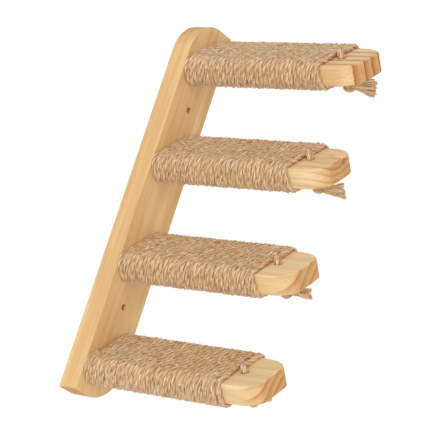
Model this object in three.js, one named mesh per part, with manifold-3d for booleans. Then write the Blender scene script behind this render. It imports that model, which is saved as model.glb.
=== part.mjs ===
// Wall mounted cat stair: a slanted backboard, four rope-wrapped steps and the screws that
// hold them. Millimetres, +Z up. The wall is the plane Y = 0, the steps stand out towards -Y
// and the stair climbs towards +X. The origin is the centre of the backboard's back face.

import * as THREE from 'three';
import { mergeVertices } from 'three/addons/utils/BufferGeometryUtils.js';
import Module from 'manifold-3d';

// ---------------------------------------------------------------- driving dimensions, mm

const CLEARANCE = 0.3; // kept between pieces that touch or pass through each other

const STEP_COUNT = 4;
const STEP_RUN = 76; // sideways, from one step to the next
const STEP_RISE = 76; // height from one step to the next
const STEP_WIDTH = 59;
const STEP_THICKNESS = 20;
const STEP_LENGTH = 203; // from the front of the backboard to the tip
const STEP_EDGE_RADIUS = 1.5;
const TIP_ROUND_ALONG = 26; // the corners of the tip are quarter ellipses
const TIP_ROUND_ACROSS = 16;
const TIP_BARE_LENGTH = 38; // bare wood past the last turn of rope

const BACKBOARD_WIDTH = 59;
const BACKBOARD_THICKNESS = 22;
const BACKBOARD_END_MARGIN = 42; // past the centre of the outer step
const BACKBOARD_ROUND = 40; // the one large round corner of each end
const BACKBOARD_CORNER = 2; // the other corner of each end
const BACKBOARD_EDGE_RADIUS = 1.2;
const WALL_HOLE_DIAMETER = 6;
const WALL_SCREW_SEAT_RADIUS = 16; // flat wood round each wall hole for the screw's head

const ROPE_DIAMETER = 5.4;
const MOST_ROPE_TURNS = 24;
const LEAST_ROPE_GAP = 0.5; // between neighbouring turns
const ROPE_START_ACROSS = -12; // where the cut end lies on top of the step, at the backboard
const ROPE_HOLE_CLEARANCE = 2.6; // how much wider the drilled hole is than the rope
const ROPE_HOLE_ACROSS = -2;
const ROPE_BEND_RADIUS = 4; // where the rope turns down into its hole

const KNOT_EYE_RADIUS = 1; // what a turn of rope in the knot leaves open in its middle
const KNOT_RING_TILT = 24; // degrees
const KNOT_PAST_WRAP = 1.1; // from the edge of the winding to the knot
// The frayed tail of each knot, lowest step first. Heading is in degrees from the tip's
// direction towards the uphill side, droop in degrees below the horizontal.
const ROPE_TAILS = [
  { length: 24, heading: -10, droop: 14 },
  { length: 24, heading: 4, droop: 6 },
  { length: 29, heading: 8, droop: 9 },
  { length: 27, heading: 6, droop: 16 },
];
const TAIL_END_RADIUS = 5.2;
const TAIL_MIDDLE_RADIUS = 4.2;
const TAIL_UNRAVELS_AT = 0.42; // share of the tail that is still whole rope
const TAIL_MIDDLE_AT = 0.75; // share of the tail where it has its middle radius
const TAIL_END_HOLLOW = 1; // depth of the hollow among the frayed ends

const SCREW_LENGTH = 55;
const SCREW_SHANK_DIAMETER = 4;
const SCREW_HEAD_DIAMETER = 8;
const SCREW_POINT_LENGTH = 6;
const SCREW_SPACING = 30; // between the two screws of a step
const SCREW_HEAD_RECESS = 0.5; // how far the heads sit below the back face

// ---------------------------------------------------------------- mesh resolution

const CORNER_SEGMENTS = 9;
const EDGE_SEGMENTS = 2;
const HOLE_SEGMENTS = 16;
const SCREW_SEGMENTS = 12;
const ROPE_SIDES = 5;
const KNOT_RING_SEGMENTS = 12;
const TAIL_SEGMENTS = 8;
const CUTTER_MARGIN = 5; // how far a cutting solid runs past what it cuts
const WELD_DISTANCE = 1e-4;

// ---------------------------------------------------------------- sizes that follow

const STEP_SPACING = Math.hypot(STEP_RUN, STEP_RISE);
const BACKBOARD_ANGLE = Math.atan2(STEP_RISE, STEP_RUN);
const BACKBOARD_LENGTH = STEP_SPACING * (STEP_COUNT - 1) + 2 * BACKBOARD_END_MARGIN;
const WALL_HOLE_OFFSET = STEP_SPACING * (STEP_COUNT / 2 - 1);
const WRAP_LENGTH = STEP_LENGTH - TIP_BARE_LENGTH;
const ROPE_RADIUS = ROPE_DIAMETER / 2;
const KNOT_RING_RADIUS = ROPE_RADIUS + KNOT_EYE_RADIUS; // centre line of a turn
const KNOT_RADIUS = KNOT_RING_RADIUS + ROPE_RADIUS;
const ROPE_HOLE_RADIUS = (ROPE_DIAMETER + ROPE_HOLE_CLEARANCE) / 2;
const ROPE_HOLE_OUT = WRAP_LENGTH + KNOT_PAST_WRAP + KNOT_RADIUS;
const SCREW_HOLE_DIAMETER = SCREW_SHANK_DIAMETER + 2 * CLEARANCE;
const SCREW_HEAD_LENGTH = (SCREW_HEAD_DIAMETER - SCREW_SHANK_DIAMETER) / 2;

// ---------------------------------------------------------------- materials

function pineMaterial() {
  return new THREE.MeshStandardMaterial({ color: 0xe3bd82, roughness: 0.6, metalness: 0 });
}

function ropeMaterial() {
  return new THREE.MeshStandardMaterial({ color: 0xb9966a, roughness: 0.95, metalness: 0 });
}

function screwMaterial() {
  return new THREE.MeshStandardMaterial({ color: 0xb9bcc0, roughness: 0.35, metalness: 1 });
}

// ---------------------------------------------------------------- solids and booleans

const manifold = await Module();
manifold.setup();

function toSolid(geometry) {
  const bare = geometry.clone();
  bare.deleteAttribute('normal');
  bare.deleteAttribute('uv');
  const welded = mergeVertices(bare, WELD_DISTANCE);
  const corners = welded.index.array;
  const triangles = [];
  for (let i = 0; i < corners.length; i += 3) {
    const [a, b, c] = [corners[i], corners[i + 1], corners[i + 2]];
    if (a !== b && b !== c && c !== a) {
      triangles.push(a, b, c);
    }
  }
  return new manifold.Manifold(
    new manifold.Mesh({
      numProp: 3,
      vertProperties: new Float32Array(welded.attributes.position.array),
      triVerts: new Uint32Array(triangles),
    }),
  );
}

function toGeometry(solid) {
  const mesh = solid.getMesh();
  const indexed = new THREE.BufferGeometry();
  indexed.setAttribute('position', new THREE.BufferAttribute(mesh.vertProperties, 3));
  indexed.setIndex(new THREE.BufferAttribute(mesh.triVerts, 1));
  const geometry = indexed.toNonIndexed();
  geometry.computeVertexNormals();
  return geometry;
}

function cut(solid, cutters) {
  return cutters.reduce((rest, cutter) => rest.subtract(toSolid(cutter)), solid);
}

function joined(geometries) {
  const solids = geometries.map(toSolid);
  return solids.reduce((sum, solid) => sum.add(solid));
}

function named(name, geometry, material) {
  const mesh = new THREE.Mesh(geometry, material);
  mesh.name = name;
  return mesh;
}

// ---------------------------------------------------------------- outlines and extrusions

function cornerArc(centreX, centreY, radiusX, radiusY, startAngle) {
  const points = [];
  for (let i = 0; i <= CORNER_SEGMENTS; i += 1) {
    const angle = startAngle + (Math.PI / 2) * (i / CORNER_SEGMENTS);
    const x = centreX + radiusX * Math.cos(angle);
    const y = centreY + radiusY * Math.sin(angle);
    points.push(new THREE.Vector2(x, y));
  }
  return points;
}

// A board of the given outline with its long edges eased. Its lower face lies at z = 0.
function easedBoard(outline, thickness, edgeRadius) {
  const geometry = new THREE.ExtrudeGeometry(new THREE.Shape(outline), {
    depth: thickness - 2 * edgeRadius,
    bevelEnabled: true,
    bevelThickness: edgeRadius,
    bevelSize: edgeRadius,
    bevelOffset: -edgeRadius,
    bevelSegments: EDGE_SEGMENTS,
    steps: 1,
  });
  return geometry.translate(0, 0, edgeRadius);
}

// A round rod along Y whose ends lie at y = from and y = to.
function rodAlongY(diameter, from, to, x, z, segments) {
  const rod = new THREE.CylinderGeometry(diameter / 2, diameter / 2, to - from, segments);
  return rod.translate(x, (from + to) / 2, z);
}

// ---------------------------------------------------------------- places

// Where the wall end of a step meets the front of the backboard; step 1 is the lowest.
function stepSeat(number) {
  const place = number - (STEP_COUNT + 1) / 2;
  return new THREE.Vector3(place * STEP_RUN, -BACKBOARD_THICKNESS, place * STEP_RISE);
}

function stepNumbers() {
  return Array.from({ length: STEP_COUNT }, (unused, index) => index + 1);
}

function screwSides() {
  return [
    { label: 'near', across: -SCREW_SPACING / 2 },
    { label: 'far', across: SCREW_SPACING / 2 },
  ];
}

// ---------------------------------------------------------------- backboard

// Where the seat of each wall screw begins and ends along a long edge of the board.
function seatLimits(across) {
  const limits = [-WALL_HOLE_OFFSET, WALL_HOLE_OFFSET].flatMap((hole) => {
    return [hole - WALL_SCREW_SEAT_RADIUS, hole + WALL_SCREW_SEAT_RADIUS];
  });
  return limits.map((along) => new THREE.Vector2(along, across));
}

// Seen from the room with its length along x: each end has one large round corner and one
// tight corner, and half a turn about the centre brings the outline back onto itself.
function backboardOutline() {
  const end = BACKBOARD_LENGTH / 2;
  const side = BACKBOARD_WIDTH / 2;
  const round = BACKBOARD_ROUND;
  const tight = BACKBOARD_CORNER;
  return [
    ...cornerArc(end - tight, -side + tight, tight, tight, -Math.PI / 2),
    ...cornerArc(end - round, side - round, round, round, 0),
    ...seatLimits(side).reverse(),
    ...cornerArc(-end + tight, side - tight, tight, tight, Math.PI / 2),
    ...cornerArc(-end + round, -side + round, round, round, Math.PI),
    ...seatLimits(-side),
  ];
}

function wallHole(offset) {
  const length = BACKBOARD_THICKNESS + 2 * CUTTER_MARGIN;
  const radius = WALL_HOLE_DIAMETER / 2;
  const hole = new THREE.CylinderGeometry(radius, radius, length, HOLE_SEGMENTS);
  const x = offset * Math.cos(BACKBOARD_ANGLE);
  const z = offset * Math.sin(BACKBOARD_ANGLE);
  return hole.translate(x, -BACKBOARD_THICKNESS / 2, z);
}

function backboardMesh() {
  const board = easedBoard(backboardOutline(), BACKBOARD_THICKNESS, BACKBOARD_EDGE_RADIUS);
  board.rotateX(Math.PI / 2);
  board.rotateY(-BACKBOARD_ANGLE);
  const cutters = [wallHole(-WALL_HOLE_OFFSET), wallHole(WALL_HOLE_OFFSET)];
  for (const number of stepNumbers()) {
    for (const side of screwSides()) {
      const seat = stepSeat(number);
      cutters.push(screwShape(CLEARANCE).translate(seat.x + side.across, 0, seat.z));
    }
  }
  return named('backboard', toGeometry(cut(toSolid(board), cutters)), pineMaterial());
}

// ---------------------------------------------------------------- steps

// In each step's own frame the wall end is at y = 0, the tip towards -y, z = 0 at mid height.
function stepOutline() {
  const side = STEP_WIDTH / 2;
  const tipX = side - TIP_ROUND_ACROSS;
  const tipY = -STEP_LENGTH + TIP_ROUND_ALONG;
  const wallEnd = STEP_EDGE_RADIUS + CUTTER_MARGIN;
  return [
    ...cornerArc(-tipX, tipY, TIP_ROUND_ACROSS, TIP_ROUND_ALONG, Math.PI),
    ...cornerArc(tipX, tipY, TIP_ROUND_ACROSS, TIP_ROUND_ALONG, -Math.PI / 2),
    new THREE.Vector2(side, wallEnd),
    new THREE.Vector2(-side, wallEnd),
  ];
}

// Squares off the wall end, just short of the backboard.
function wallEndCutter() {
  const size = 2 * (STEP_EDGE_RADIUS + CUTTER_MARGIN);
  const box = new THREE.BoxGeometry(2 * STEP_WIDTH, size, 2 * STEP_THICKNESS);
  return box.translate(0, size / 2 - CLEARANCE, 0);
}

function ropeHole() {
  const length = STEP_THICKNESS + 2 * CUTTER_MARGIN;
  const hole = new THREE.CylinderGeometry(
    ROPE_HOLE_RADIUS,
    ROPE_HOLE_RADIUS,
    length,
    HOLE_SEGMENTS,
  );
  hole.rotateX(Math.PI / 2);
  return hole.translate(ROPE_HOLE_ACROSS, -ROPE_HOLE_OUT, 0);
}

function pilotHole(across) {
  const depth = SCREW_LENGTH + SCREW_HEAD_RECESS + CLEARANCE - BACKBOARD_THICKNESS;
  return rodAlongY(SCREW_HOLE_DIAMETER, -depth, CUTTER_MARGIN, across, 0, SCREW_SEGMENTS);
}

function stepBoardMesh(number) {
  const board = easedBoard(stepOutline(), STEP_THICKNESS, STEP_EDGE_RADIUS);
  board.translate(0, 0, -STEP_THICKNESS / 2);
  const pilots = screwSides().map((side) => pilotHole(side.across));
  const solid = cut(toSolid(board), [wallEndCutter(), ropeHole(), ...pilots]);
  return named(`step_board_${number}`, toGeometry(solid), pineMaterial());
}

// ---------------------------------------------------------------- step screws

// A countersunk screw along Y with its head towards the wall, grown by the given amount all
// over when it is used to cut its own hole.
function screwShape(grow) {
  const shank = SCREW_SHANK_DIAMETER / 2 + grow;
  const head = SCREW_HEAD_DIAMETER / 2 + grow;
  const backEnd = grow > 0 ? SCREW_HEAD_RECESS + CUTTER_MARGIN : 0;
  const profile = [
    new THREE.Vector2(0, -SCREW_LENGTH),
    new THREE.Vector2(shank, -SCREW_LENGTH + SCREW_POINT_LENGTH),
    new THREE.Vector2(shank, -SCREW_HEAD_LENGTH),
    new THREE.Vector2(head, 0),
    ...(backEnd > 0 ? [new THREE.Vector2(head, backEnd)] : []),
    new THREE.Vector2(0, backEnd),
  ];
  const screw = new THREE.LatheGeometry(profile, SCREW_SEGMENTS);
  return screw.translate(0, -SCREW_HEAD_RECESS, 0);
}

function screwMesh(number, side) {
  const screw = screwShape(0).translate(side.across, BACKBOARD_THICKNESS, 0);
  const name = `step_screw_${number}_${side.label}`;
  return named(name, toGeometry(toSolid(screw)), screwMaterial());
}

// ---------------------------------------------------------------- rope winding

// The eight corners of one turn, in the order the rope passes them: leftwards over the top,
// down the near side, back underneath and up the far side. Two corners go round each long
// edge of the step and keep the rope clear of its eased edge.
function turnCorners() {
  const bend = STEP_EDGE_RADIUS + CLEARANCE + ROPE_RADIUS;
  const halfBend = bend * Math.tan(Math.PI / 8);
  const edgeX = STEP_WIDTH / 2 - STEP_EDGE_RADIUS;
  const edgeZ = STEP_THICKNESS / 2 - STEP_EDGE_RADIUS;
  const nearTop = [
    { x: -edgeX - halfBend, z: edgeZ + bend },
    { x: -edgeX - bend, z: edgeZ + halfBend },
  ];
  const nearBottom = nearTop.map((corner) => ({ x: corner.x, z: -corner.z })).reverse();
  const farBottom = nearBottom.map((corner) => ({ x: -corner.x, z: corner.z })).reverse();
  const farTop = nearTop.map((corner) => ({ x: -corner.x, z: corner.z })).reverse();
  return [...nearTop, ...nearBottom, ...farBottom, ...farTop];
}

// How far the rope has gone round when it reaches each corner, as a share of one turn that
// starts above the middle of the step.
function turnShares(corners) {
  const top = corners[0].z;
  let last = { x: 0, z: top };
  let travelled = 0;
  const distances = corners.map((corner) => {
    travelled += Math.hypot(corner.x - last.x, corner.z - last.z);
    last = corner;
    return travelled;
  });
  const perimeter = travelled + last.x;
  const start = -ROPE_START_ACROSS / perimeter;
  return { shares: distances.map((distance) => distance / perimeter), start, perimeter };
}

// The winding's turns: how many fit beside each other, and how far apart they lie.
function turnSpacing(shares, start) {
  const nearSide = (shares[1] + shares[2]) / 2;
  const room = WRAP_LENGTH - ROPE_DIAMETER - CLEARANCE;
  const fitting = Math.floor(room / (ROPE_DIAMETER + LEAST_ROPE_GAP) + 1 - nearSide + start);
  const turns = Math.min(MOST_ROPE_TURNS, fitting);
  return { turns, pitch: room / (turns - 1 + nearSide - start) };
}

// Centre line of one winding, from the cut end at the backboard to mid height in the hole.
function wrapPath() {
  const corners = turnCorners();
  const { shares, start, perimeter } = turnShares(corners);
  const { turns, pitch } = turnSpacing(shares, start);
  const top = corners[0].z;
  const outAt = (share) => CLEARANCE + ROPE_RADIUS + pitch * (share - start);
  const path = [new THREE.Vector3(ROPE_START_ACROSS, -outAt(start), top)];
  for (let turn = 0; turn < turns; turn += 1) {
    corners.forEach((corner, index) => {
      path.push(new THREE.Vector3(corner.x, -outAt(turn + shares[index]), corner.z));
    });
  }
  return [...path, ...runIntoHole(outAt(turns), top, pitch / perimeter)];
}

// The last run lies across the top, turns 45 degrees towards the hole and bends down into it.
function runIntoHole(out, top, slope) {
  const leaveX = ROPE_HOLE_ACROSS + (ROPE_HOLE_OUT - out);
  const leaveOut = out - slope * leaveX;
  const leave = new THREE.Vector3(leaveX, -leaveOut, top);
  const aboveHole = new THREE.Vector3(ROPE_HOLE_ACROSS, -ROPE_HOLE_OUT, top);
  const beforeBend = ROPE_BEND_RADIUS * (1 - Math.tan(Math.PI / 8));
  const towardsHole = aboveHole.clone().sub(leave).normalize();
  const bendStart = aboveHole.clone().addScaledVector(towardsHole, -beforeBend);
  const bendEnd = aboveHole.clone().setZ(top - beforeBend);
  const end = aboveHole.clone().setZ(0);
  return [leave, bendStart, bendEnd, end];
}

// A ring of offsets round the start of the path, square to its first run, which is level.
function firstRing(path, radius, sides) {
  const along = path[1].clone().sub(path[0]).normalize();
  const acrossTube = new THREE.Vector3(0, 0, 1).cross(along).normalize();
  const overTube = along.clone().cross(acrossTube);
  return Array.from({ length: sides }, (unused, index) => {
    const angle = (2 * Math.PI * index) / sides;
    const offset = acrossTube.clone().multiplyScalar(radius * Math.cos(angle));
    return offset.addScaledVector(overTube, radius * Math.sin(angle));
  });
}

// Carries the ring along the path. At each bend the tube is mitred, so its section stays the
// same on both sides of the bend.
function tubeRings(path, radius, sides) {
  let offsets = firstRing(path, radius, sides);
  const rings = [offsets.map((offset) => offset.clone().add(path[0]))];
  for (let i = 1; i < path.length; i += 1) {
    const incoming = path[i].clone().sub(path[i - 1]).normalize();
    const next = path[Math.min(i + 1, path.length - 1)];
    const outgoing = next === path[i] ? incoming : next.clone().sub(path[i]).normalize();
    const normal = incoming.clone().add(outgoing).normalize();
    const mitred = offsets.map((offset) => {
      const slide = -offset.dot(normal) / incoming.dot(normal);
      return offset.clone().addScaledVector(incoming, slide);
    });
    rings.push(mitred.map((offset) => offset.clone().add(path[i])));
    offsets = mitred.map((offset) => {
      return offset.clone().addScaledVector(outgoing, -offset.dot(outgoing));
    });
  }
  return rings;
}

function tubeGeometry(path, radius, sides) {
  const rings = tubeRings(path, radius, sides);
  const positions = rings.flat().flatMap((point) => [point.x, point.y, point.z]);
  const index = [];
  for (let ring = 0; ring + 1 < rings.length; ring += 1) {
    for (let side = 0; side < sides; side += 1) {
      const a = ring * sides + side;
      const b = ring * sides + ((side + 1) % sides);
      index.push(a, b, b + sides, a, b + sides, a + sides);
    }
  }
  const last = (rings.length - 1) * sides;
  for (let side = 1; side + 1 < sides; side += 1) {
    index.push(0, side + 1, side);
    index.push(last, last + side, last + side + 1);
  }
  const geometry = new THREE.BufferGeometry();
  geometry.setAttribute('position', new THREE.Float32BufferAttribute(positions, 3));
  geometry.setIndex(index);
  return geometry;
}

// The least gap between stretches of one tube, measured between points along its centre line.
// Stretches closer along the rope than a few diameters are the same run and are passed over.
function leastGapToItself(path, diameter) {
  const sampleStep = 1.5;
  const sameRun = 4 * diameter;
  const samples = [];
  let travelled = 0;
  for (let i = 0; i + 1 < path.length; i += 1) {
    const length = path[i].distanceTo(path[i + 1]);
    const count = Math.ceil(length / sampleStep);
    for (let j = 0; j < count; j += 1) {
      const point = path[i].clone().lerp(path[i + 1], j / count);
      samples.push({ point, along: travelled + (length * j) / count });
    }
    travelled += length;
  }
  let least = Infinity;
  samples.forEach((first, index) => {
    for (let other = index + 1; other < samples.length; other += 1) {
      if (samples[other].along - first.along > sameRun) {
        least = Math.min(least, first.point.distanceTo(samples[other].point));
      }
    }
  });
  return { gap: least - diameter, length: travelled };
}

function ropeWrapMesh(number) {
  const geometry = tubeGeometry(wrapPath(), ROPE_RADIUS, ROPE_SIDES);
  return named(`rope_wrap_${number}`, toGeometry(toSolid(geometry)), ropeMaterial());
}

// ---------------------------------------------------------------- knot and frayed tail

// One turn of rope round the knot, as a tilted ring.
function knotRing(tilt, turn, height) {
  const ring = new THREE.TorusGeometry(
    KNOT_RING_RADIUS,
    ROPE_RADIUS,
    ROPE_SIDES + 1,
    KNOT_RING_SEGMENTS,
  );
  ring.rotateX(THREE.MathUtils.degToRad(tilt));
  ring.rotateZ(THREE.MathUtils.degToRad(turn));
  return ring.translate(0, 0, height);
}

// The strands that cross inside the knot.
function knotCore(height) {
  const core = new THREE.SphereGeometry(KNOT_RING_RADIUS, TAIL_SEGMENTS, TAIL_SEGMENTS);
  return core.translate(0, 0, height);
}

// The rope's end inside the hole, from mid height down to the middle of the knot.
function knotStem(bottom) {
  const top = -CLEARANCE;
  const stem = new THREE.CylinderGeometry(ROPE_RADIUS, ROPE_RADIUS, top - bottom, TAIL_SEGMENTS);
  stem.rotateX(Math.PI / 2);
  return stem.translate(0, 0, (top + bottom) / 2);
}

// The tail leaves the knot as rope and spreads into a tuft.
function knotTail(tail, height) {
  const profile = [
    new THREE.Vector2(0, 0),
    new THREE.Vector2(ROPE_RADIUS, 0),
    new THREE.Vector2(ROPE_RADIUS, tail.length * TAIL_UNRAVELS_AT),
    new THREE.Vector2(TAIL_MIDDLE_RADIUS, tail.length * TAIL_MIDDLE_AT),
    new THREE.Vector2(TAIL_END_RADIUS, tail.length),
    new THREE.Vector2(0, tail.length - TAIL_END_HOLLOW),
  ];
  const cone = new THREE.LatheGeometry(profile, TAIL_SEGMENTS);
  cone.rotateX(Math.PI + THREE.MathUtils.degToRad(tail.droop));
  cone.rotateZ(THREE.MathUtils.degToRad(tail.heading));
  return cone.translate(0, 0, height);
}

function ropeKnotMesh(number) {
  const tail = ROPE_TAILS[(number - 1) % ROPE_TAILS.length];
  const ringReach = KNOT_RING_RADIUS * Math.sin(THREE.MathUtils.degToRad(KNOT_RING_TILT));
  const height = -STEP_THICKNESS / 2 - CLEARANCE - ROPE_RADIUS - ringReach;
  const parts = [
    knotStem(height),
    knotCore(height),
    knotRing(KNOT_RING_TILT, tail.heading, height),
    knotRing(KNOT_RING_TILT, tail.heading + 180, height),
    knotTail(tail, height),
  ];
  const geometry = toGeometry(joined(parts));
  geometry.translate(ROPE_HOLE_ACROSS, -ROPE_HOLE_OUT, 0);
  return named(`rope_knot_${number}`, geometry, ropeMaterial());
}

// ---------------------------------------------------------------- assembly

function stepAssembly(number) {
  const assembly = new THREE.Group();
  assembly.position.copy(stepSeat(number));
  assembly.add(stepBoardMesh(number));
  assembly.add(ropeWrapMesh(number));
  assembly.add(ropeKnotMesh(number));
  for (const side of screwSides()) {
    assembly.add(screwMesh(number, side));
  }
  return assembly;
}

function catStair() {
  const stair = new THREE.Group();
  stair.add(backboardMesh());
  for (const number of stepNumbers()) {
    stair.add(stepAssembly(number));
  }
  return stair;
}

const winding = leastGapToItself(wrapPath(), ROPE_DIAMETER);
console.log(`winding: least gap to itself ${winding.gap.toFixed(2)} mm`);
console.log(`winding: rope length ${(winding.length / 1000).toFixed(2)} m`);

export default catStair();
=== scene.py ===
"""Looks of a wall mounted cat stair: pine boards, jute rope windings, knots and fasteners.

Lengths are in millimetres in the tables and functions below and become metres when a mesh is
made. The wall is the plane Y = 0, the steps stand out towards -Y and the stair climbs towards
+X. Step 1 is the lowest.
"""

import math

import bmesh
import bpy
import numpy as np
from mathutils import Matrix, Vector


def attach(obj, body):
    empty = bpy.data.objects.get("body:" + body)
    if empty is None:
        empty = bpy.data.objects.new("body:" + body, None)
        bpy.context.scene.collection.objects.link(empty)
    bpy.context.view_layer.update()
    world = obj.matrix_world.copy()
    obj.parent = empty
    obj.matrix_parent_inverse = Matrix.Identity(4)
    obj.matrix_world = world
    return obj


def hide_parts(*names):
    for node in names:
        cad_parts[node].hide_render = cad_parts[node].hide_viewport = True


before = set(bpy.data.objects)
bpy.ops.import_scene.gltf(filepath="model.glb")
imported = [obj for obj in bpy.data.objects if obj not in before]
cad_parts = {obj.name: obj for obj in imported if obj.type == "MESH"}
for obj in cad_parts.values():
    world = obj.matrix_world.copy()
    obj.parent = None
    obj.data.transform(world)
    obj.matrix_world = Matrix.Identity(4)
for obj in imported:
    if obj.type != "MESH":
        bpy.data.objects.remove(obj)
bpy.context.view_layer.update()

# ---------------- driving dimensions, mm

MM = 0.001
MM_PER_METRE = (1000, 1000, 1000)

STEP_COUNT = 4
STEP_RUN = 76
STEP_RISE = 76
STEP_WIDTH = 59
STEP_THICKNESS = 20
STEP_LENGTH = 203
STEP_EDGE_RADIUS = 1.5
STEP_WALL_GAP = 0.3
TIP_ROUND_ALONG = 26
TIP_ROUND_ACROSS = 16

BACKBOARD_WIDTH = 59
BACKBOARD_THICKNESS = 22
BACKBOARD_END_MARGIN = 42
BACKBOARD_ROUND = 40
BACKBOARD_CORNER = 2
BACKBOARD_EDGE_RADIUS = 1.2
WALL_HOLE_DIAMETER = 6
WALL_HOLE_RIM = 0.35

WRAP_LENGTH = 165
ROPE_HEIGHT = 5.74
ROPE_WIDTH = 5.16
FREE_ROPE_WIDTH = 6.4
ROPE_TURNS = 32
ROPE_LAY = 26
ROPE_WALL_GAP = 0.3
ROPE_BEND = 6.65
ROPE_PRESSED_HEIGHT = 3.9
ROPE_LEAVES_TURN = 9
ROPE_HOLE_RADIUS = 4
ROPE_HOLE_PLACE = (-2, -172.5, 0)

SCREW_LENGTH = 55
SCREW_SHANK_RADIUS = 2
SCREW_HEAD_RADIUS = 4
SCREW_POINT_LENGTH = 6
SCREW_THREAD_PITCH = 2.2
SCREW_SPACING = 30
SCREW_HEAD_RECESS = 0.5
SCREW_CLEARANCE = 0.3

STEP_SPACING = math.hypot(STEP_RUN, STEP_RISE)
BACKBOARD_LENGTH = STEP_SPACING * (STEP_COUNT - 1) + 2 * BACKBOARD_END_MARGIN
WALL_HOLE_OFFSET = STEP_SPACING

# ---------------- mesh resolution

ARC_SEGMENTS = 18
EASE_SEGMENTS = 5
HOLE_SEGMENTS = 48
ROPE_SIDES = 32
YARN_RIDGES = 8
YARN_DEPTH = 0.25
YARN_TURNS_BACK = 0.7
ROPE_RING_SPACING = 1.4
YARN_SIDES = 6
FUZZ_SIDES = 3
SCREW_SIDES = 32

# ---------------- what differs per step

# Where the rope's cut end lies: the distance round the step, from above its middle and over
# the near edge. The lowest step's end shows on top, the others start at the far edge.
ROPE_STARTS = {1: 12, 2: -33, 3: -35, 4: -31}

# Tails by step, the lowest one out of the photo's sight. A tail starts at the knot at the height
# "from", measured from the step's middle, with a length, a heading from the tip's direction
# towards the uphill side and a droop in degrees. The first share, "rope", is still laid up. The
# rest is parted into fingers, each ending so far (up, sideways) from the tail's line.
TAILS = {
    1: {
        "length": 18, "from": -17.5, "heading": 25, "droop": -6, "rope": 0.35,
        "fingers": [(1.8, 1.4), (-0.4, -1.8), (-2.0, 1.2)],
    },
    2: {
        "length": 27, "from": -17.5, "heading": 4, "droop": 3, "rope": 0.35,
        "fingers": [(2.9, -1.6), (-0.4, 2.0), (-3.4, -0.6)],
    },
    3: {
        "length": 28, "from": -20.6, "heading": 6, "droop": 3, "rope": 0.32,
        "fingers": [(6.2, -0.8), (1.6, 2.2), (-1.6, -2.2), (-5.4, 0.6)],
    },
    4: {
        "length": 29, "from": -17.5, "heading": 4, "droop": 8, "rope": 0.12,
        "fingers": [(8.6, 0.4), (5.4, -1.8), (2.2, 1.8), (-0.8, -2.0), (-3.8, 1.4), (-6.8, -0.8)],
    },
}

# Growth rings of each board in its own frame, with the grain along y: the pith's place,
# the width of a ring, a shift of the rings, how strongly the late wood shows on the end and
# on the sides, the weakest ring's share, where in a ring the late wood begins, the strength of
# the flames on the sides and how much warmer and darker the tone gets with each mm along y,
# which is painted shade towards the backboard's upper end.
BACKBOARD_RINGS = {
    "pith": (-34, -52), "width": 7.5, "shift": 0.3, "end": 0.5, "side": 0.17,
    "weakest": 0.45, "late": 0.45, "flame": 0.18, "painted_shade_along_y": 0.0011,
}
STEP_RINGS = {
    1: {
        "pith": (60, -100), "width": 8.6, "shift": 0.87, "end": 0.78, "side": 0.2,
        "weakest": 0.8, "late": 0.3, "flame": 0.2, "painted_shade_along_y": 0,
    },
    2: {
        "pith": (79, -99), "width": 10.5, "shift": 0.53, "end": 0.62, "side": 0.15,
        "weakest": 0.8, "late": 0.3, "flame": 0.2, "painted_shade_along_y": 0,
    },
    3: {
        "pith": (2, 45), "width": 6.0, "shift": 0.88, "end": 0.85, "side": 0.44,
        "weakest": 0.4, "late": 0.4, "flame": 0.3, "painted_shade_along_y": 0,
    },
    4: {
        "pith": (200, 0), "width": 12.2, "shift": 0.72, "end": 1.0, "side": 0.85,
        "weakest": 0.9, "late": 0.2, "flame": 0.3, "painted_shade_along_y": 0,
    },
}
# A small branch knot in the end of one step: across, along and up from the step's middle.
STEP_KNOTS = {3: {"place": (8.5, -203, 5.5), "radius": 4.5}}

# A step's two staples: the place across, how much further out than the last turn's middle and
# the turn in degrees.
STAPLES = {"near": (-27, -1.2, -5), "far": (11, 2.0, 4)}
STAPLE_CROWN = 5.2
STAPLE_LEG_IN_WOOD = 4
STAPLE_WIRE_WIDE = 1.1
STAPLE_WIRE_HIGH = 0.6
STAPLE_SUNK = {1: 0.5, 2: 0.35, 3: 0.8, 4: 0.9}

# The knot below each hole: the middle line's radius, its turns, the heights of its first and
# last turn from the step's middle, and how far it leans out towards the tip.
KNOT_RADIUS = 3.6
KNOT_TURNS = 1.7
KNOT_TOP = -13.4
KNOT_BOTTOM = -21.0
KNOT_LEAN = 3.2
KNOT_WAVE = 1.1
YARNS_PER_FINGER = 8
FIBRES_PER_FINGER = 12
FUZZ_PER_STEP = 700
TAIL_WAVE = 0.45

CAMERA_PLACE = (-1287.1, -1190.1, 595.7)
CAMERA_AIM = (-9.2, -103.0, 1.8)
CAMERA_ROLL = -10.6
CAMERA_LENS = 153.7
SENSOR_WIDTH = 36

FLOOR_HEIGHT = -900
FLOOR_SIZE = 40000
FLOOR_GLOW = 0.3

WORLD_LIGHT = 0.43
# Name, where the light comes from, strength and softness in degrees.
SUNS = [
    ("soft_top", (-0.35, -0.35, 0.87), 0.88, 50),
    ("soft_left", (-0.85, -0.5, 0.16), 1.12, 40),
    ("soft_front", (0.4, -0.9, -0.15), 0.3, 60),
    ("soft_back", (-0.33, 0.61, 0.71), 0.3, 25),
]


# ---------------- small helpers


def srgb(red, green, blue):
    """A display colour of 0 to 255 as linear values."""
    values = []
    for part in (red, green, blue):
        share = part / 255
        low = share <= 0.04045
        values.append(share / 12.92 if low else ((share + 0.055) / 1.055) ** 2.4)
    return (*values, 1.0)


def smoothstep(x):
    x = np.clip(x, 0, 1)
    return x * x * (3 - 2 * x)


def slow_wave(seed, positions, wavelength, amplitude):
    """A smooth random curve along a line: six sines of seeded length and phase."""
    random = np.random.default_rng(seed)
    total = np.zeros_like(positions)
    for _ in range(6):
        stretch = wavelength * random.uniform(0.5, 2.0)
        phase = random.uniform(0, 2 * math.pi)
        total += np.sin(2 * math.pi * positions / stretch + phase)
    return amplitude * total / math.sqrt(3)


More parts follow.
